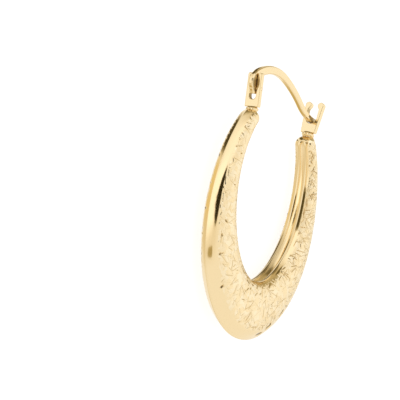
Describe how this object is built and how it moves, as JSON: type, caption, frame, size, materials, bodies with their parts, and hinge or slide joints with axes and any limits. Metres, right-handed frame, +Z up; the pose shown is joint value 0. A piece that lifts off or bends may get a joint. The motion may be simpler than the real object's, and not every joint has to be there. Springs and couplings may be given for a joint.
{
  "type": "creole hoop earring",
  "caption": "Tapered oval creole hoop earring in yellow gold with cut, sparkling flanks, a forked catch and an arched ear wire that swings on a pinned bracket.",
  "frame": {"origin": "middle of the outline in X and Y, on the surface that the hoop lies on", "axes": "+X from the hinge to the catch, +Y from the belly of the hoop to the ear wire, +Z up along the axis of the hoop"},
  "size_m": [0.0204, 0.03, 0.0039],
  "materials": {
    "cut_gold": "yellow gold, polished, with short crossing bright cuts over the flanks",
    "wire_gold": "yellow gold, polished plain",
    "pin_gold": "yellow gold, drawn wire"
  },
  "bodies": {
    "hoop": {"hoop": "cut_gold", "hinge_pin": "pin_gold"},
    "ear_wire": {"ear_wire": "wire_gold"}
  },
  "joints": [
    {"name": "ear_wire_hinge", "type": "hinge", "parent": "hoop", "child": "ear_wire", "pos_m": [-0.0059, 0.0118, 0.00198], "axis": [0, 0, 1], "range_deg": [0, 90]}
  ]
}
